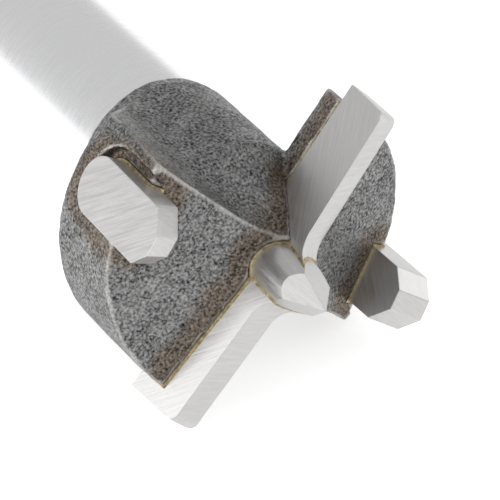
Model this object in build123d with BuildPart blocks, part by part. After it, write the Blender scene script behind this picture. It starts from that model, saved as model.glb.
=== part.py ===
from build123d import *
from math import cos, hypot, radians, sin, tan
import os

# Carbide-tipped hinge-boring bit for wood, 18 mm cut on an 8 mm shank. Millimetres.
# Every piece is first drawn in the bit's own frame: the axis is Z, the point is at the origin and
# the shank runs towards -Z. The first wing lies along +X and the bit cuts towards +Y. At the end
# the whole bit is laid on its side, as it comes to rest on a bench, with the point towards +X.

# Main sizes
cutting_diameter = 18.0
shank_diameter = 8.0
overall_length = 57.0
head_length = 16.4
shank_chamfer = 0.6
ground_shoulder = 0.1

# Forged head
core_diameter = 8.6
rim_setback = 0.95
neck_length = 1.0
flare_length = 3.8
flare_edge_radius = 0.9
neck_radius = 1.6

# Gullets, one ahead of each wing
wall_offset = 0.95
wall_splay = 3.0
wall_lean = 3.0
wall_fillet = 2.4
core_ramp_start = 9.0
core_ramp_end = 4.4
core_ramp_diameter = 3.3
undercut_depth = 8.5
undercut_slope = 43.0

# Front faces of the wings
front_depth = 4.25
front_fall = 17.0
front_outward_fall = 5.7

# Wing cutters
plate_thickness = 1.15
plate_height = 4.0
rake_angle = 10.0
rake_lead = 0.62
lip_slope = 2.8
lip_relief = 12.0
lip_corner_radius = 0.5

# Centre point
point_height = 3.3
point_diameter = 2.6
point_depth = 7.6
point_flank = 65.0
point_lobe = 59.0
lip_root_radius = 1.4

# Scribing spurs
spur_azimuth = 98.4
spur_setback = 0.24
spur_width = 3.0
spur_thickness = 1.6
spur_top = 3.06
spur_end = 10.5
spur_taper = 3.0
spur_bevel = 22.0
spur_lead_drop = 0.95
spur_lead_width = 0.85
spur_trail_drop = 1.05
spur_trail_width = 1.1
spur_crest_drop = 0.08
gutter_width = 0.65
gutter_depth = 1.0

# Joints filled with braze
braze_gap = 0.12

# Sizes that follow from those above
body_diameter = cutting_diameter - 2 * rim_setback
flare_start = head_length - neck_length
flare_end = flare_start - flare_length
spur_face = cutting_diameter / 2 - spur_setback
reach = cutting_diameter
half_turn = 180
tolerance = 0.01
edge_steps = 16
bench_steps = 20

os.makedirs("parts", exist_ok=True)

# Planes that more than one piece shares. The rake plane looks into the first cutter, so a
# positive extrusion goes back through its thickness. The wall plane looks into the gullet.
rake_plane = Plane(
    origin=(0, rake_lead, -point_height),
    x_dir=(1, 0, 0),
    z_dir=(0, -cos(radians(rake_angle)), sin(radians(rake_angle))),
)
wall_plane = Plane(
    origin=(wall_offset, 0, -front_depth),
    x_dir=(sin(radians(wall_splay)), cos(radians(wall_splay)), 0),
    z_dir=(
        cos(radians(wall_splay)) * cos(radians(wall_lean)),
        -sin(radians(wall_splay)) * cos(radians(wall_lean)),
        sin(radians(wall_lean)),
    ),
)
front_plane = Plane(
    origin=(0, 0, -front_depth),
    x_dir=(1, 0, -tan(radians(front_outward_fall))),
    z_dir=(tan(radians(front_outward_fall)), -tan(radians(front_fall)), 1),
)
lobe_plane = Plane(
    origin=(0, 0, 0),
    x_dir=(1, 0, 0),
    z_dir=(0, sin(radians(point_lobe)), cos(radians(point_lobe))),
)


def spur_plane(azimuth):
    """The outer face of a spur: X runs round the rim, Y towards the point, Z outwards."""
    facing = Vector(cos(radians(azimuth)), sin(radians(azimuth)), 0)
    return Plane(
        origin=facing * spur_face - Vector(0, 0, spur_top),
        x_dir=(-sin(radians(azimuth)), cos(radians(azimuth)), 0),
        z_dir=facing * cos(radians(spur_taper)) - Vector(0, 0, sin(radians(spur_taper))),
    )


def beside_wall(edge):
    """Whether an edge is where a gullet's wall comes down to the core."""
    spot = edge @ 0.5
    if spot.Y < 0:
        spot = Vector(-spot.X, -spot.Y, spot.Z)
    on_wall = abs(wall_plane.to_local_coords(spot).Z) < tolerance
    on_core = hypot(spot.X, spot.Y) < core_diameter / 2 + tolerance
    return on_wall and on_core and spot.Z > -flare_start


# The core that the gullets leave standing: the neck, and a ramp that falls to the centre point.
with BuildPart() as core:
    with BuildSketch(Plane.XZ):
        with BuildLine():
            Polyline(
                (0, -overall_length),
                (core_diameter / 2, -overall_length),
                (core_diameter / 2, -core_ramp_start),
                (core_ramp_diameter / 2, -core_ramp_end),
                (core_ramp_diameter / 2, 0),
                (0, 0),
                close=True,
            )
        make_face()
    revolve(axis=Axis.Z)

# One gullet: the space ahead of the first cutter and beside the second wing's wall, with the
# undercut that runs back below the first wing.
undercut_run = body_diameter / 2
undercut_rise = tan(radians(undercut_slope))
with BuildPart() as gullet:
    with BuildSketch(wall_plane):
        Rectangle(4 * reach, 4 * reach)
    extrude(amount=2 * reach)
    with BuildSketch(rake_plane):
        Rectangle(4 * reach, 4 * reach)
    extrude(amount=-2 * reach, mode=Mode.INTERSECT)
    with BuildSketch(Plane.YZ):
        with BuildLine():
            Polyline(
                (rake_lead, -undercut_depth + rake_lead * undercut_rise),
                (-undercut_run, -undercut_depth - undercut_run * undercut_rise),
                (-undercut_run, -2 * head_length),
                (rake_lead, -2 * head_length),
                close=True,
            )
        make_face()
    extrude(amount=reach)
    add(core.part, mode=Mode.SUBTRACT)

# What is ground off the front of the first wing.
with BuildPart() as front_waste:
    with BuildSketch(front_plane):
        Rectangle(4 * reach, 4 * reach)
    extrude(amount=reach)
    with BuildSketch(Plane.XZ):
        Rectangle(4 * reach, 4 * reach)
    extrude(amount=reach, mode=Mode.INTERSECT)

# The forging before its seats are cut: shank, neck, flare and rim, less the gullets and fronts.
with BuildPart() as blank:
    with BuildSketch(Plane.XZ):
        with BuildLine():
            Polyline(
                (0, -overall_length),
                (shank_diameter / 2 - shank_chamfer, -overall_length),
                (shank_diameter / 2, -overall_length + shank_chamfer),
                (shank_diameter / 2, -head_length),
                (shank_diameter / 2 + ground_shoulder, -head_length),
                (core_diameter / 2, -flare_start),
                (body_diameter / 2, -flare_end),
                (body_diameter / 2, 0),
                (0, 0),
                close=True,
            )
        make_face()
    revolve(axis=Axis.Z)
    circles = blank.edges().filter_by(GeomType.CIRCLE)
    fillet(circles.filter_by_position(Axis.Z, -flare_end, -flare_end), flare_edge_radius)
    fillet(circles.filter_by_position(Axis.Z, -flare_start, -flare_start), neck_radius)
    with PolarLocations(0, 2):
        add(gullet.part, mode=Mode.SUBTRACT)
    with PolarLocations(0, 2):
        add(front_waste.part, mode=Mode.SUBTRACT)
    fillet(blank.edges().filter_by(beside_wall), wall_fillet)

# What the grinding wheel takes off above the first lip: the land, its hollow root and the flank
# of the point. It runs back along the relief, so the land falls behind the cutting edge.
relief = Vector(0, cos(radians(lip_relief)), sin(radians(lip_relief)))
relief_drop = reach * tan(radians(lip_relief))
flank_rise = tan(radians(point_flank))
lip_rise = tan(radians(lip_slope))
root_x = point_height / (flank_rise - lip_rise)
with BuildPart() as lip_waste:
    with BuildSketch(Plane.XZ.offset(reach)):
        with BuildLine():
            FilletPolyline(
                (-reach / 2, flank_rise * reach / 2 - relief_drop),
                (root_x, -flank_rise * root_x - relief_drop),
                (reach, -point_height - lip_rise * reach - relief_drop),
                radius=lip_root_radius,
            )
            Polyline(
                (reach, -point_height - lip_rise * reach - relief_drop),
                (reach, 2 * reach),
                (-reach / 2, 2 * reach),
                (-reach / 2, flank_rise * reach / 2 - relief_drop),
            )
        make_face()
    extrude(amount=2 * reach / cos(radians(lip_relief)), dir=relief)

# The plate of the first cutter as a whole bar, running in to the axis.
with BuildPart() as plate:
    with BuildSketch(rake_plane):
        with BuildLine():
            Polyline(
                (0, -plate_height),
                (reach, -plate_height),
                (reach, point_height),
                (0, point_height),
                close=True,
            )
        make_face()
    extrude(amount=plate_thickness)
    with BuildSketch(Plane.XY.offset(-overall_length)):
        Circle(cutting_diameter / 2)
    extrude(amount=overall_length + reach, mode=Mode.INTERSECT)

# Its seat in the wing, a joint's width larger below and behind.
with BuildPart() as plate_seat:
    with BuildSketch(rake_plane):
        with BuildLine():
            Polyline(
                (0, -plate_height - braze_gap),
                (reach, -plate_height - braze_gap),
                (reach, 2 * point_height),
                (0, 2 * point_height),
                close=True,
            )
        make_face()
    extrude(amount=plate_thickness + braze_gap)

# The rod between the cutters, and the bore that it is brazed into.
with BuildPart() as rod:
    with BuildSketch(Plane.XY.offset(-point_depth)):
        Circle(point_diameter / 2)
    extrude(amount=point_depth)

with BuildPart() as rod_seat:
    with BuildSketch(Plane.XY.offset(-point_depth - braze_gap)):
        Circle(point_diameter / 2 + braze_gap)
    extrude(amount=point_depth + braze_gap + point_height)

# What is ground off the side of the point that faces the first gullet.
with BuildPart() as lobe_waste:
    with BuildSketch(lobe_plane):
        Rectangle(2 * reach, 2 * reach)
    extrude(amount=reach)

# The first spur: a plate with a full-round back end and three bevels at the front, which fall
# away inwards so that the scribing edge is on the outer face.
face_plane = spur_plane(spur_azimuth)
spur_side = spur_width / 2
bevel = (
    face_plane.z_dir * -cos(radians(spur_bevel)) - face_plane.y_dir * sin(radians(spur_bevel))
)
with BuildPart() as spur:
    with BuildSketch(face_plane):
        with BuildLine():
            Polyline(
                (-spur_side, spur_top - spur_end + spur_side),
                (-spur_side, spur_top),
                (spur_side, spur_top),
                (spur_side, spur_top - spur_end + spur_side),
            )
            ThreePointArc(
                (spur_side, spur_top - spur_end + spur_side),
                (0, spur_top - spur_end),
                (-spur_side, spur_top - spur_end + spur_side),
            )
        make_face()
    extrude(amount=-spur_thickness)
    with BuildSketch(face_plane):
        with BuildLine():
            Polyline(
                (-spur_width, -spur_trail_drop - spur_width + spur_side),
                (-spur_side, -spur_trail_drop),
                (-spur_side + spur_trail_width, 0),
                (spur_side - spur_lead_width, -spur_crest_drop),
                (spur_side, -spur_lead_drop),
                (spur_width, -spur_lead_drop - spur_width + spur_side),
                (spur_width, spur_top * 2),
                (-spur_width, spur_top * 2),
                close=True,
            )
        make_face()
    extrude(amount=2 * spur_thickness / cos(radians(spur_bevel)), dir=bevel, mode=Mode.SUBTRACT)


# The pocket in the rim that the spur is brazed into, open outwards and to the front.
with BuildPart() as spur_seat:
    with BuildSketch(face_plane.offset(reach)):
        with Locations((0, spur_top - spur_end + spur_side)):
            Circle(spur_side + braze_gap)
        with Locations((0, spur_top - spur_end + spur_side)):
            Rectangle(spur_width + 2 * braze_gap, 2 * spur_end, align=(Align.CENTER, Align.MIN))
    extrude(amount=-reach - spur_thickness - braze_gap)

# The shallow gutter beside the spur, on its gullet side, where the pocket was milled wider.
with BuildPart() as gutter:
    with BuildSketch(face_plane.offset(reach)):
        with Locations((-gutter_width, spur_top - spur_end + spur_side)):
            Circle(spur_side)
        with Locations((-gutter_width, spur_top - spur_end + spur_side)):
            Rectangle(spur_width, 2 * spur_end, align=(Align.CENTER, Align.MIN))
    extrude(amount=-reach - gutter_depth)

# The steel body: the forging with its seats cut.
with BuildPart() as body:
    add(blank.part)
    with PolarLocations(0, 2):
        add(gutter.part, mode=Mode.SUBTRACT)
    with PolarLocations(0, 2):
        add(plate_seat.part, mode=Mode.SUBTRACT)
    with PolarLocations(0, 2):
        add(spur_seat.part, mode=Mode.SUBTRACT)
    add(rod_seat.part, mode=Mode.SUBTRACT)

# The first wing cutter: the bar cut back to the rod's seat and ground along its lip, with the
# outer corner of the lip eased.
outer = cutting_diameter / 2 - tolerance
with BuildPart() as cutter:
    add(plate.part)
    add(rod_seat.part, mode=Mode.SUBTRACT)
    add(lip_waste.part, mode=Mode.SUBTRACT)
    outer_edges = cutter.edges().filter_by(lambda edge: hypot((edge @ 0.5).X, (edge @ 0.5).Y) > outer)
    fillet(outer_edges.sort_by(Axis.Z)[-1], lip_corner_radius)

# The centre point: two flanks that carry on the lips, and two lobes that face the gullets.
with BuildPart() as centre_point:
    add(rod.part)
    with PolarLocations(0, 2):
        add(lip_waste.part, mode=Mode.SUBTRACT)
    with PolarLocations(0, 2):
        add(lobe_waste.part, mode=Mode.SUBTRACT)

# The braze that fills each joint, flush with what it holds.
with BuildPart() as cutter_braze:
    add(blank.part)
    add(plate_seat.part, mode=Mode.INTERSECT)
    add(plate.part, mode=Mode.SUBTRACT)
    add(rod_seat.part, mode=Mode.SUBTRACT)

with BuildPart() as spur_braze:
    add(blank.part)
    with PolarLocations(0, 2):
        add(gutter.part, mode=Mode.SUBTRACT)
    add(spur_seat.part, mode=Mode.INTERSECT)
    add(spur.part, mode=Mode.SUBTRACT)

with BuildPart() as centre_braze:
    add(blank.part)
    with PolarLocations(0, 2):
        add(plate.part)
    add(rod_seat.part, mode=Mode.INTERSECT)
    add(rod.part, mode=Mode.SUBTRACT)
    with PolarLocations(0, 2):
        add(lip_waste.part, mode=Mode.SUBTRACT)

finished = [
    ("body", body, 0),
    ("wing_cutter_1", cutter, 0),
    ("wing_cutter_2", cutter, half_turn),
    ("centre_point", centre_point, 0),
    ("spur_1", spur, 0),
    ("spur_2", spur, half_turn),
    ("braze_cutter_1", cutter_braze, 0),
    ("braze_cutter_2", cutter_braze, half_turn),
    ("braze_spur_1", spur_braze, 0),
    ("braze_spur_2", spur_braze, half_turn),
    ("braze_centre", centre_braze, 0),
]

# The bit rests on three points: two on the head, one each side of the axis, and the rim of the
# shank's end. The plane through them is the bench.
head_points = []
for label, piece, angle in finished:
    for edge in piece.part.moved(Location((0, 0, 0), (0, 0, angle))).edges():
        for step in range(edge_steps + 1):
            head_points.append(edge @ (step / edge_steps))
head_points = [spot for spot in head_points if spot.Z > -head_length]

bench_up = Vector(1, 1, 0).normalized()
for step in range(bench_steps):
    outward = Vector(-bench_up.X, -bench_up.Y, 0).normalized()
    shank_foot = outward * (shank_diameter / 2) + Vector(0, 0, shank_chamfer - overall_length)
    side = Vector(0, 0, 1).cross(bench_up)
    left = [spot for spot in head_points if spot.dot(side) > 0]
    right = [spot for spot in head_points if spot.dot(side) < 0]
    left_foot = min(left, key=lambda spot: spot.dot(bench_up))
    right_foot = min(right, key=lambda spot: spot.dot(bench_up))
    bench_up = (right_foot - shank_foot).cross(left_foot - shank_foot).normalized()
    if bench_up.dot(outward) > 0:
        bench_up = -bench_up
bench_along = (Vector(0, 0, 1) - bench_up * bench_up.Z).normalized()
bench = Plane(origin=shank_foot, x_dir=bench_along, z_dir=bench_up)

# The origin is on the bench, under the middle of the whole bit as it lies.
on_bench = bench.location.inverse()
boxes = []
for label, piece, angle in finished:
    turn = Location((0, 0, 0), (0, 0, angle))
    boxes.append(piece.part.moved(on_bench * turn).bounding_box())
middle_x = (min(box.min.X for box in boxes) + max(box.max.X for box in boxes)) / 2
middle_y = (min(box.min.Y for box in boxes) + max(box.max.Y for box in boxes)) / 2
to_origin = Location((-middle_x, -middle_y, 0)) * on_bench

for label, piece, angle in finished:
    with BuildPart() as laid:
        add(piece.part.moved(to_origin * Location((0, 0, 0), (0, 0, angle))))
    laid.part.label = label
    export_step(laid.part, f"parts/{label}.step")
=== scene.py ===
# %% [markdown]
# # A carbide-tipped boring bit, dressed for a close-up
#
# The bit is a steel forging with five small pieces of tungsten carbide brazed into it: two wing
# cutters, a centre point and two spurs. Its looks come from the contrast of four finishes: a
# bright ground shank, a grey blasted forging, carbide that a diamond wheel has ground in fine
# lines, and dull braze that has run out of the joints.
#
# The CAD frame is loaded first. Everything else is built around it and in its place.

# %% Load the frame
from math import cos, pi, radians, sin, tan

import bmesh
import bpy
import numpy as np
from mathutils import Euler, Matrix, Vector, noise
from mathutils.bvhtree import BVHTree


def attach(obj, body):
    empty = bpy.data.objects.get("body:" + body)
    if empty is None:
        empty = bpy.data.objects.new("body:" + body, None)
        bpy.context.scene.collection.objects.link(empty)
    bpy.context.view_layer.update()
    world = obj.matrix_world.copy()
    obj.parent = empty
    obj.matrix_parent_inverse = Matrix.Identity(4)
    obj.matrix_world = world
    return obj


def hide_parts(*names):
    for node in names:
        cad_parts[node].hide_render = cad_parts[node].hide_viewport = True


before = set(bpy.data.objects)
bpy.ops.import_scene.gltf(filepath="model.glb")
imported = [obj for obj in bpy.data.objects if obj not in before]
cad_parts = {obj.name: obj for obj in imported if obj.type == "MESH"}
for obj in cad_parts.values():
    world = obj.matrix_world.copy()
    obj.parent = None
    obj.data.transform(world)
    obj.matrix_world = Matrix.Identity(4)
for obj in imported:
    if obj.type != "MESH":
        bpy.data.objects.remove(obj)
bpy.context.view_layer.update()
print("CAD nodes:", ", ".join(sorted(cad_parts)))

# %% [markdown]
# ## The bit's own frame
#
# The bit lies on its side, so its axis is tilted in the scene. Shapes and patterns are easier to
# describe in the bit's own frame, in millimetres: the point at the origin, the shank towards -Z,
# the first wing along +X. One matrix turns that frame into the scene's.

# %% The bit's frame
millimetre = 0.001
tip_spot = Vector((28.5505, 0.0, 7.1966))
axis_tilt = 86.7443
axis_roll = 137.761
bit_to_bench = (
    Matrix.Translation(tip_spot)
    @ Matrix.Rotation(radians(axis_tilt), 4, "Y")
    @ Matrix.Rotation(radians(axis_roll), 4, "Z")
)
half_turn = Matrix.Rotation(pi, 4, "Z")
to_scene = Matrix.Scale(millimetre, 4)
print("The axis points along", tuple(round(c, 3) for c in bit_to_bench.to_3x3() @ Vector((0, 0, 1))))

# %% [markdown]
# ## The camera
#
# The photograph is a close-up with a long lens, and it cuts off the shank. The place, aim and
# lens below were found by fitting points of the bit to the photograph.

# %% Camera
camera_spot = Vector((165.137, -82.976, 134.107))
camera_aim = Vector((21.815, -0.186, 6.5))
camera_roll = -0.953
camera_lens = 313.15

camera_data = bpy.data.cameras.new("close_up")
camera_data.lens = camera_lens
camera_data.sensor_width = 36.0
camera_data.clip_start = 0.01
camera = bpy.data.objects.new("close_up", camera_data)
bpy.context.scene.collection.objects.link(camera)
look = (camera_aim - camera_spot).to_track_quat("-Z", "Y").to_matrix().to_4x4()
roll = Matrix.Rotation(radians(camera_roll), 4, "Z")
camera.matrix_world = Matrix.Translation(camera_spot * millimetre) @ look @ roll
bpy.context.scene.camera = camera
bpy.context.scene.view_settings.view_transform = "Standard"

# %% [markdown]
# ## Small helpers for node trees
#
# Materials, node groups and geometry trees are all made of nodes and links. Two helpers keep
# the recipes below short: one adds a node and fills in its sockets, the other links two sockets.

# %% Node helpers
def add_node(tree, kind, sockets=None, **settings):
    node = tree.nodes.new(kind)
    for name, value in settings.items():
        setattr(node, name, value)
    for name, value in (sockets or {}).items():
        node.inputs[name].default_value = value
    return node


def join(tree, source, out, target, into):
    tree.links.new(source.outputs[out], target.inputs[into])


def blend_colours(tree, factor, first, second):
    """A mix of two colours. Each of the three is a value or a (node, output) pair."""
    mix = add_node(tree, "ShaderNodeMix", data_type="RGBA")
    for value, index in ((factor, 0), (first, 6), (second, 7)):
        if isinstance(value, tuple) and isinstance(value[0], bpy.types.Node):
            tree.links.new(value[0].outputs[value[1]], mix.inputs[index])
        else:
            mix.inputs[index].default_value = value
    return (mix, 2)


def arithmetic(tree, operation, *values, clamp=False):
    """A Math node. Each value is a number or a (node, output) pair."""
    maths = add_node(tree, "ShaderNodeMath", operation=operation, use_clamp=clamp)
    for index, value in enumerate(values):
        if isinstance(value, tuple):
            tree.links.new(value[0].outputs[value[1]], maths.inputs[index])
        else:
            maths.inputs[index].default_value = value
    return (maths, 0)


def feed(tree, source, node, into):
    tree.links.new(source[0].outputs[source[1]], node.inputs[into])


def step_between(tree, value, low, high, to_low=0.0, to_high=1.0):
    """A soft step: to_low below low, to_high above high."""
    ramp = add_node(tree, "ShaderNodeMapRange", interpolation_type="SMOOTHSTEP")
    feed(tree, value, ramp, "Value")
    ramp.inputs["From Min"].default_value = low
    ramp.inputs["From Max"].default_value = high
    ramp.inputs["To Min"].default_value = to_low
    ramp.inputs["To Max"].default_value = to_high
    return (ramp, 0)


# %% [markdown]
# ## Shared effects
#
# Three effects are node groups that are built once: the grit-blasted skin of the forging and
# the lines of a grinding wheel, which turn up in more than one finish, and the ragged edge where
# one finish gives way to another, which no finish uses.

# %% Group helper
def new_group(name, numbers, outputs):
    """A shader group with a Position input, number inputs and value outputs."""
    group = bpy.data.node_groups.new(name, "ShaderNodeTree")
    group.interface.new_socket("Position", in_out="INPUT", socket_type="NodeSocketVector")
    for socket_name, start in numbers.items():
        socket = group.interface.new_socket(socket_name, in_out="INPUT", socket_type="NodeSocketFloat")
        socket.default_value = start
    for socket_name in outputs:
        group.interface.new_socket(socket_name, in_out="OUTPUT", socket_type="NodeSocketFloat")
    return group, group.nodes.new("NodeGroupInput"), group.nodes.new("NodeGroupOutput")


# %% Blasted skin
blasted, given, result = new_group(
    "blasted_skin", {"Grain": 7.0, "Contrast": 1.0}, ("Shade", "Height")
)
fine = add_node(blasted, "ShaderNodeTexNoise", {"Detail": 3.0, "Roughness": 0.6})
join(blasted, given, "Position", fine, "Vector")
join(blasted, given, "Grain", fine, "Scale")
pits = add_node(blasted, "ShaderNodeTexVoronoi", feature="F1")
join(blasted, given, "Position", pits, "Vector")
pit_scale = arithmetic(blasted, "MULTIPLY", (given, 1), 0.9)
feed(blasted, pit_scale, pits, "Scale")
broad = add_node(blasted, "ShaderNodeTexNoise", {"Scale": 0.9, "Detail": 2.0})
join(blasted, given, "Position", broad, "Vector")
centred = arithmetic(blasted, "SUBTRACT", (fine, 0), 0.5)
stretched = arithmetic(blasted, "MULTIPLY", centred, (given, 2))
pitted = arithmetic(blasted, "MULTIPLY_ADD", (pits, 0), -0.35, 0.68)
shade = arithmetic(blasted, "MULTIPLY_ADD", stretched, 2.4, pitted)
cloudy = arithmetic(blasted, "SUBTRACT", (broad, 0), 0.5)
shade = arithmetic(blasted, "MULTIPLY_ADD", cloudy, 0.5, shade)
feed(blasted, shade, result, "Shade")
height = arithmetic(blasted, "MULTIPLY_ADD", (pits, 0), -0.6, (fine, 0))
feed(blasted, height, result, "Height")

# %% Grinding lines
lines, given, result = new_group(
    "grinding_lines", {"Closeness": 9.0, "Length": 0.35}, ("Shade", "Height")
)
split = add_node(lines, "ShaderNodeSeparateXYZ")
join(lines, given, "Position", split, "Vector")
across = arithmetic(lines, "MULTIPLY", (split, 0), (given, 1))
along = arithmetic(lines, "MULTIPLY", (split, 1), (given, 2))
rebuilt = add_node(lines, "ShaderNodeCombineXYZ")
feed(lines, across, rebuilt, "X")
feed(lines, along, rebuilt, "Y")
feed(lines, (split, 2), rebuilt, "Z")
streaks = add_node(lines, "ShaderNodeTexNoise", {"Scale": 1.0, "Detail": 4.0, "Roughness": 0.65})
join(lines, rebuilt, "Vector", streaks, "Vector")
feed(lines, (streaks, 0), result, "Shade")
feed(lines, (streaks, 0), result, "Height")

# %% Ragged edge
ragged, given, result = new_group(
    "ragged_edge", {"Distance": 0.0, "Raggedness": 0.5, "Softness": 0.1, "Detail": 3.0}, ("Mask",)
)
wobble = add_node(ragged, "ShaderNodeTexNoise", {"Detail": 4.0, "Roughness": 0.6})
join(ragged, given, "Position", wobble, "Vector")
join(ragged, given, "Detail", wobble, "Scale")
swing = arithmetic(ragged, "SUBTRACT", (wobble, 0), 0.5)
moved = arithmetic(ragged, "MULTIPLY_ADD", swing, (given, 2), (given, 1))
sharp = arithmetic(ragged, "DIVIDE", moved, (given, 3))
mask = arithmetic(ragged, "ADD", sharp, 0.5, clamp=True)
feed(ragged, mask, result, "Mask")
print("Groups:", ", ".join(group.name for group in bpy.data.node_groups))

# %% [markdown]
# ## Materials start from the same three nodes
#
# Every pattern is drawn in a frame of its own, in millimetres. Object coordinates are the
# scene's metres, and a Mapping node turns them into the pattern's frame.

# %% Material starter
def new_finish(name, pattern_to_bench, roughness, metallic, tint):
    """A material with its Principled shader, and the position in the pattern's frame."""
    finish = bpy.data.materials.new(name)
    finish.use_nodes = True
    tree = finish.node_tree
    shader = tree.nodes["Principled BSDF"]
    shader.inputs["Roughness"].default_value = roughness
    shader.inputs["Metallic"].default_value = metallic
    shader.inputs["Base Color"].default_value = (*tint, 1)
    finish.diffuse_color = (*tint, 1)
    spot = add_node(tree, "ShaderNodeTexCoord")
    turn = add_node(tree, "ShaderNodeMapping", vector_type="POINT")
    back = pattern_to_bench.inverted()
    turn.inputs["Scale"].default_value = (1 / millimetre,) * 3
    turn.inputs["Rotation"].default_value = back.to_3x3().to_euler()
    turn.inputs["Location"].default_value = back.to_translation()
    join(tree, spot, "Object", turn, "Vector")
    return finish, tree, shader, turn


def place_group(tree, group, position, **numbers):
    node = add_node(tree, "ShaderNodeGroup", node_tree=group)
    feed(tree, position, node, "Position")
    for name, value in numbers.items():
        if isinstance(value, tuple):
            feed(tree, value, node, name)
        else:
            node.inputs[name].default_value = value
    return node


def bump_from(tree, height, shader, distance, strength=1.0):
    bump = add_node(tree, "ShaderNodeBump", {"Strength": strength, "Distance": distance * millimetre})
    feed(tree, height, bump, "Height")
    join(tree, bump, "Normal", shader, "Normal")
    return bump


# %% [markdown]
# ## The forged head
#
# On the real bit the head is forged, milled and blasted with grit. Its skin is grey and grainy,
# its edges are slightly rounded, and heat and flux have stained it near every brazed joint. The
# CAD solid has the right shape but knife-sharp edges, so the head is rebuilt as an even skin of
# small cells by voxel remeshing, smoothed a little, and roughened by noise. The shank is a
# separate piece, because it is ground smooth and needs no such skin.

# %% Head sizes
skin_cell = 0.115
smooth_rounds = 3
ring_depth = 16.42
swell_size = 1.3
swell_height = 0.03
grain_size = 0.32
grain_height = 0.014


def link_piece(name, mesh):
    piece = bpy.data.objects.new(name, mesh)
    bpy.context.scene.collection.objects.link(piece)
    return piece


def baked(piece):
    """The piece with its modifiers turned into plain mesh."""
    graph = bpy.context.evaluated_depsgraph_get()
    mesh = bpy.data.meshes.new_from_object(piece.evaluated_get(graph))
    piece.modifiers.clear()
    piece.data = mesh
    return piece


def neighbour_average(values, edges, counts):
    total = np.zeros_like(values)
    np.add.at(total, edges[:, 0], values[edges[:, 1]])
    np.add.at(total, edges[:, 1], values[edges[:, 0]])
    return total / counts.reshape((-1,) + (1,) * (values.ndim - 1))


# %% Merge the CAD body and cut off its shank
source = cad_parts["body"].data.copy()
source.transform(Matrix.Scale(1 / millimetre, 4))
forging = bmesh.new()
forging.from_mesh(source)
bmesh.ops.remove_doubles(forging, verts=forging.verts, dist=0.0005)
axis_way = (bit_to_bench.to_3x3() @ Vector((0, 0, 1))).normalized()
ring_spot = bit_to_bench @ Vector((0, 0, -ring_depth))
everything = forging.verts[:] + forging.edges[:] + forging.faces[:]
cut = bmesh.ops.bisect_plane(
    forging, geom=everything, plane_co=ring_spot, plane_no=axis_way, clear_inner=True
)
rim_edges = [part for part in cut["geom_cut"] if isinstance(part, bmesh.types.BMEdge)]
bmesh.ops.edgeloop_fill(forging, edges=rim_edges)
forging.to_mesh(source)
forging.free()
head = link_piece("head", source)

# %% Remesh and smooth the head
skin = head.modifiers.new("skin", "REMESH")
skin.mode = "VOXEL"
skin.voxel_size = skin_cell
soften = head.modifiers.new("soften", "SMOOTH")
soften.factor = 0.5
soften.iterations = smooth_rounds
head = baked(head)
print("Head skin:", len(head.data.vertices), "points")

# %% Roughen it, and note where it is worn and stained
mesh = head.data
count = len(mesh.vertices)
points = np.empty(count * 3, np.float32)
mesh.vertices.foreach_get("co", points)
points = points.reshape(-1, 3).astype(float)
normals = np.empty(count * 3, np.float32)
mesh.vertices.foreach_get("normal", normals)
normals = normals.reshape(-1, 3).astype(float)
edges = np.empty(len(mesh.edges) * 2, np.int32)
mesh.edges.foreach_get("vertices", edges)
edges = edges.reshape(-1, 2)
counts = np.bincount(edges.ravel(), minlength=count).astype(float)

pull = neighbour_average(points, edges, counts) - points
ridge = -(pull * normals).sum(1) / skin_cell
for _ in range(3):
    ridge = neighbour_average(ridge, edges, counts)

brazed_points = []
brazed_faces = []
for node in ("wing_cutter_1", "wing_cutter_2", "centre_point", "spur_1", "spur_2"):
    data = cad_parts[node].data
    offset = len(brazed_points)
    brazed_points += [vertex.co / millimetre for vertex in data.vertices]
    brazed_faces += [[offset + i for i in face.vertices] for face in data.polygons]
brazed = BVHTree.FromPolygons(brazed_points, brazed_faces)
joint_distance = np.array([brazed.find_nearest(Vector(p))[3] for p in points], float)

# %% Move the skin
lift = np.empty(count)
for i in range(count):
    spot = Vector(points[i])
    swell = noise.fractal(spot / swell_size, 1.0, 2.0, 3) * swell_height
    grit = noise.noise(spot / grain_size) * grain_height
    lift[i] = swell + grit
calm = np.clip((joint_distance - 0.15) / 0.4, 0, 1)
points += normals * (lift * calm)[:, None]
mesh.vertices.foreach_set("co", points.astype(np.float32).ravel())
mesh.transform(to_scene)
for name, values in (("ridge", ridge), ("joint_distance", joint_distance)):
    attribute = mesh.attributes.new(name, "FLOAT", "POINT")
    attribute.data.foreach_set("value", values.astype(np.float32))
mesh.polygons.foreach_set("use_smooth", np.ones(len(mesh.polygons), bool))
mesh.update()
print("Ridge from", round(float(ridge.min()), 3), "to", round(float(ridge.max()), 3))

# %% Forged steel finish
forged, tree, shader, spot = new_finish("forged_steel", bit_to_bench, 0.5, 0.75, (0.3, 0.3, 0.3))
grain = place_group(tree, blasted, (spot, 0), Grain=7.0, Contrast=1.0)
dark_steel = (0.012, 0.012, 0.014, 1)
light_steel = (0.42, 0.42, 0.415, 1)
colour = blend_colours(tree, (grain, 0), dark_steel, light_steel)
distance = add_node(tree, "ShaderNodeAttribute", attribute_name="joint_distance")
stain_noise = add_node(tree, "ShaderNodeTexNoise", {"Scale": 0.55, "Detail": 5.0, "Roughness": 0.7})
join(tree, spot, "Vector", stain_noise, "Vector")
nearness = step_between(tree, (distance, 2), 0.2, 2.6, 1.0, 0.0)
stain = arithmetic(tree, "ADD", nearness, (stain_noise, 0))
stain = step_between(tree, stain, 0.85, 1.35, 0.0, 1.0)
speck = add_node(tree, "ShaderNodeTexNoise", {"Scale": 4.0, "Detail": 4.0, "Roughness": 0.7})
join(tree, spot, "Vector", speck, "Vector")
brown = blend_colours(tree, (speck, 0), (0.10, 0.055, 0.03, 1), (0.55, 0.42, 0.3, 1))
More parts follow.
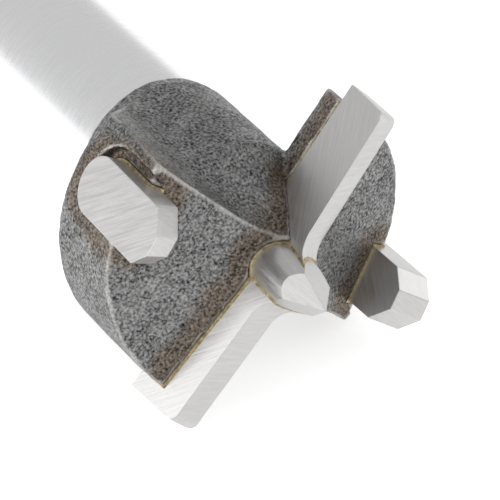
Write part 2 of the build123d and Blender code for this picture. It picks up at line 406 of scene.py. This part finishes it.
stain_share = arithmetic(tree, "MULTIPLY", stain, 0.75)
mixed_stain = add_node(tree, "ShaderNodeMix", data_type="RGBA", blend_type="OVERLAY")
feed(tree, stain_share, mixed_stain, 0)
feed(tree, colour, mixed_stain, 6)
feed(tree, brown, mixed_stain, 7)
ridge_value = add_node(tree, "ShaderNodeAttribute", attribute_name="ridge")
worn = step_between(tree, (ridge_value, 2), 0.035, 0.09)
colour = blend_colours(tree, arithmetic(tree, "MULTIPLY", worn, 0.6), (mixed_stain, 2), (0.75, 0.74, 0.72, 1))
feed(tree, colour, shader, "Base Color")
rough = step_between(tree, (grain, 0), 0.1, 0.9, 0.62, 0.36)
feed(tree, rough, shader, "Roughness")
bump_from(tree, (grain, 1), shader, 0.05)
head.data.materials.clear()
head.data.materials.append(forged)
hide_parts("body")
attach(head, "root")

# %% [markdown]
# ## The ground shank
#
# The shank is turned and ground to size, with a small chamfer at its end. A lathed profile gives
# it exactly, and its first millimetre is hidden inside the head.

# %% Shank
shank_radius = 4.0
shank_end = 57.0
shank_chamfer = 0.6
shank_start = 15.9
shank_sides = 128
profile = [
    (0.0, -shank_start),
    (shank_radius, -shank_start),
    (shank_radius, -ring_depth),
    (shank_radius, -(shank_end + ring_depth) / 2),
    (shank_radius, -shank_end + shank_chamfer + 0.08),
    (shank_radius - 0.03, -shank_end + shank_chamfer),
    (shank_radius - shank_chamfer + 0.03, -shank_end + 0.04),
    (shank_radius - shank_chamfer - 0.05, -shank_end),
    (0.0, -shank_end),
]
turned = bmesh.new()
rings = []
for radius, depth in profile:
    if radius == 0:
        rings.append([turned.verts.new((0, 0, depth))])
    else:
        rings.append([
            turned.verts.new((radius * cos(2 * pi * k / shank_sides), radius * sin(2 * pi * k / shank_sides), depth))
            for k in range(shank_sides)
        ])
for upper, lower in zip(rings, rings[1:]):
    for k in range(shank_sides):
        following = (k + 1) % shank_sides
        corners = [upper[k % len(upper)], lower[k % len(lower)], lower[following % len(lower)], upper[following % len(upper)]]
        unique = list(dict.fromkeys(corners))
        turned.faces.new(unique)
bmesh.ops.recalc_face_normals(turned, faces=turned.faces)
shank_mesh = bpy.data.meshes.new("shank")
turned.to_mesh(shank_mesh)
turned.free()
shank_mesh.transform(to_scene @ bit_to_bench)
shank_mesh.polygons.foreach_set("use_smooth", np.ones(len(shank_mesh.polygons), bool))
shank_mesh.set_sharp_from_angle(angle=radians(30))
shank = link_piece("shank", shank_mesh)

ground, tree, shader, spot = new_finish("ground_steel", bit_to_bench, 0.28, 1.0, (0.86, 0.86, 0.87))
streaks = place_group(tree, lines, (spot, 0), Closeness=0.4, Length=0.4)
fine_noise = add_node(tree, "ShaderNodeTexNoise", {"Scale": 1.0, "Detail": 3.0})
squeeze = add_node(tree, "ShaderNodeMapping", {"Scale": (0.5, 0.5, 14.0)})
join(tree, spot, "Vector", squeeze, "Vector")
join(tree, squeeze, "Vector", fine_noise, "Vector")
colour = blend_colours(tree, (fine_noise, 0), (0.86, 0.86, 0.87, 1), (0.93, 0.93, 0.94, 1))
feed(tree, colour, shader, "Base Color")
feed(tree, step_between(tree, (fine_noise, 0), 0.3, 0.7, 0.24, 0.34), shader, "Roughness")
bump_from(tree, (fine_noise, 0), shader, 0.0003)
shank.data.materials.append(ground)
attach(shank, "root")

# %% [markdown]
# ## The carbide pieces
#
# Each carbide piece was ground on a diamond wheel, so its faces are flat and its edges are keen.
# A razor-sharp CAD edge never catches the light, though, and a real one does: it has a fine
# rounding a few hundredths of a millimetre wide. Each node is copied, its flat faces are joined,
# and a Bevel modifier rounds only the true edges.

# %% Keen copies of the carbide nodes
edge_rounding = 0.035


def keen_copy(node):
    """A copy of a CAD node with its flat faces whole and its edges finely rounded."""
    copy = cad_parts[node].data.copy()
    copy.transform(Matrix.Scale(1 / millimetre, 4))
    shape = bmesh.new()
    shape.from_mesh(copy)
    bmesh.ops.remove_doubles(shape, verts=shape.verts, dist=0.0005)
    bmesh.ops.dissolve_limit(shape, angle_limit=radians(0.6), verts=shape.verts, edges=shape.edges)
    shape.to_mesh(copy)
    shape.free()
    piece = link_piece("keen_" + node, copy)
    bevel = piece.modifiers.new("keen_edges", "BEVEL")
    bevel.width = edge_rounding
    bevel.segments = 2
    bevel.limit_method = "ANGLE"
    bevel.angle_limit = radians(24)
    bevel.harden_normals = True
    piece = baked(piece)
    piece.data.transform(to_scene)
    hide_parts(node)
    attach(piece, "root")
    return piece


cutters = [keen_copy("wing_cutter_1"), keen_copy("wing_cutter_2")]
spurs = [keen_copy("spur_1"), keen_copy("spur_2")]
point = keen_copy("centre_point")
for piece in cutters + spurs + [point]:
    print(piece.name, len(piece.data.polygons), "faces")

# %% Carbide finish
point_height = 3.3
rake_lead = 0.62
rake_angle = 10.0
plate_frame = Matrix.Translation((0, rake_lead, -point_height)) @ Matrix.Rotation(radians(90 - rake_angle), 4, "X")


def carbide(name, pattern_frame, line_angle, tone):
    """Ground carbide, with wheel lines at an angle in the pattern frame's XY plane."""
    turned_frame = pattern_frame @ Matrix.Rotation(radians(line_angle), 4, "Z")
    finish, tree, shader, spot = new_finish(name, turned_frame, 0.33, 0.85, (tone, tone, tone))
    wheel = place_group(tree, lines, (spot, 0), Closeness=9.0, Length=0.35)
    dark = (tone * 0.72, tone * 0.71, tone * 0.7, 1)
    light = (min(tone * 1.22, 1), min(tone * 1.21, 1), min(tone * 1.2, 1), 1)
    colour = blend_colours(tree, (wheel, 0), dark, light)
    feed(tree, colour, shader, "Base Color")
    feed(tree, step_between(tree, (wheel, 0), 0.3, 0.7, 0.28, 0.42), shader, "Roughness")
    bump_from(tree, (wheel, 1), shader, 0.006)
    return finish


for number, piece in enumerate(cutters):
    turn = half_turn if number else Matrix.Identity(4)
    piece.data.materials.clear()
    piece.data.materials.append(carbide(f"cutter_carbide_{number + 1}", bit_to_bench @ turn @ plate_frame, 50, 0.6))

spur_azimuth = 98.4
spur_frame = Matrix.Rotation(radians(spur_azimuth), 4, "Z") @ Matrix.Rotation(radians(90), 4, "Z") @ Matrix.Rotation(radians(90), 4, "X")
for number, piece in enumerate(spurs):
    turn = half_turn if number else Matrix.Identity(4)
    piece.data.materials.clear()
    piece.data.materials.append(carbide(f"spur_carbide_{number + 1}", bit_to_bench @ turn @ spur_frame, 40, 0.66))
point.data.materials.clear()
point.data.materials.append(carbide("point_carbide", bit_to_bench, 0, 0.6))

# %% [markdown]
# ## The braze
#
# Brass-coloured filler holds each carbide piece. It shows as a thin line where the joint was
# ground through, and as a dull fillet where it ran out.

# %% Braze finish
braze, tree, shader, spot = new_finish("braze", bit_to_bench, 0.5, 0.8, (0.45, 0.36, 0.2))
grain = place_group(tree, blasted, (spot, 0), Grain=5.0, Contrast=0.8)
colour = blend_colours(tree, (grain, 0), (0.16, 0.1, 0.05, 1), (0.7, 0.6, 0.36, 1))
feed(tree, colour, shader, "Base Color")
bump_from(tree, (grain, 1), shader, 0.02)
for node in ("braze_cutter_1", "braze_cutter_2", "braze_spur_1", "braze_spur_2", "braze_centre"):
    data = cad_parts[node].data
    data.materials.clear()
    data.materials.append(braze)

# %% [markdown]
# ## Floor and light
#
# The photograph has a plain white ground. The floor is white where the camera sees it, keeps a
# faint shadow, and lets metal mirror the same white.

# %% Floor
floor_mesh = bpy.data.meshes.new("floor")
floor_shape = bmesh.new()
bmesh.ops.create_grid(floor_shape, x_segments=1, y_segments=1, size=3.0)
floor_shape.to_mesh(floor_mesh)
floor_shape.free()
floor = link_piece("floor", floor_mesh)
paper = bpy.data.materials.new("paper")
paper.use_nodes = True
tree = paper.node_tree
tree.nodes.clear()
out = add_node(tree, "ShaderNodeOutputMaterial")
matte = add_node(tree, "ShaderNodeBsdfDiffuse", {"Color": (0.8, 0.8, 0.8, 1)})
glow = add_node(tree, "ShaderNodeEmission", {"Color": (1, 1, 1, 1), "Strength": 0.62})
both = add_node(tree, "ShaderNodeAddShader")
path = add_node(tree, "ShaderNodeLightPath")
seen = arithmetic(tree, "MAXIMUM", (path, "Is Camera Ray"), (path, "Is Glossy Ray"))
seen = arithmetic(tree, "MAXIMUM", seen, (path, "Is Transmission Ray"))
choose = add_node(tree, "ShaderNodeMixShader")
tree.links.new(matte.outputs[0], both.inputs[0])
tree.links.new(glow.outputs[0], both.inputs[1])
feed(tree, seen, choose, 0)
tree.links.new(matte.outputs[0], choose.inputs[1])
tree.links.new(both.outputs[0], choose.inputs[2])
tree.links.new(choose.outputs[0], out.inputs["Surface"])
floor.data.materials.append(paper)

# %% World
world = bpy.data.worlds.new("studio")
world.use_nodes = True
bpy.context.scene.world = world
tree = world.node_tree
backdrop = tree.nodes["Background"]
path = add_node(tree, "ShaderNodeLightPath")
seen = arithmetic(tree, "MAXIMUM", (path, "Is Camera Ray"), (path, "Is Transmission Ray"))
strength = step_between(tree, seen, 0.0, 1.0, 0.62, 1.0)
feed(tree, strength, backdrop, "Strength")
backdrop.inputs["Color"].default_value = (1, 1, 1, 1)

# %% Lamps
def soft_lamp(name, spot, aim, size, brightness):
    """A square lamp. Its brightness is how bright its face looks, where 1 is white."""
    data = bpy.data.lights.new(name, "AREA")
    data.shape = "SQUARE"
    data.size = size
    data.energy = brightness * pi * size * size
    lamp = bpy.data.objects.new(name, data)
    bpy.context.scene.collection.objects.link(lamp)
    turn = (Vector(aim) - Vector(spot)).to_track_quat("-Z", "Y").to_matrix().to_4x4()
    lamp.matrix_world = Matrix.Translation(Vector(spot)) @ turn
    return lamp


head_spot = (0.02, 0, 0.006)
soft_lamp("key", (-0.05, -0.5, 0.14), head_spot, 0.4, 2.6)
soft_lamp("fill", (0.25, 0.5, 0.25), head_spot, 0.4, 1.2)
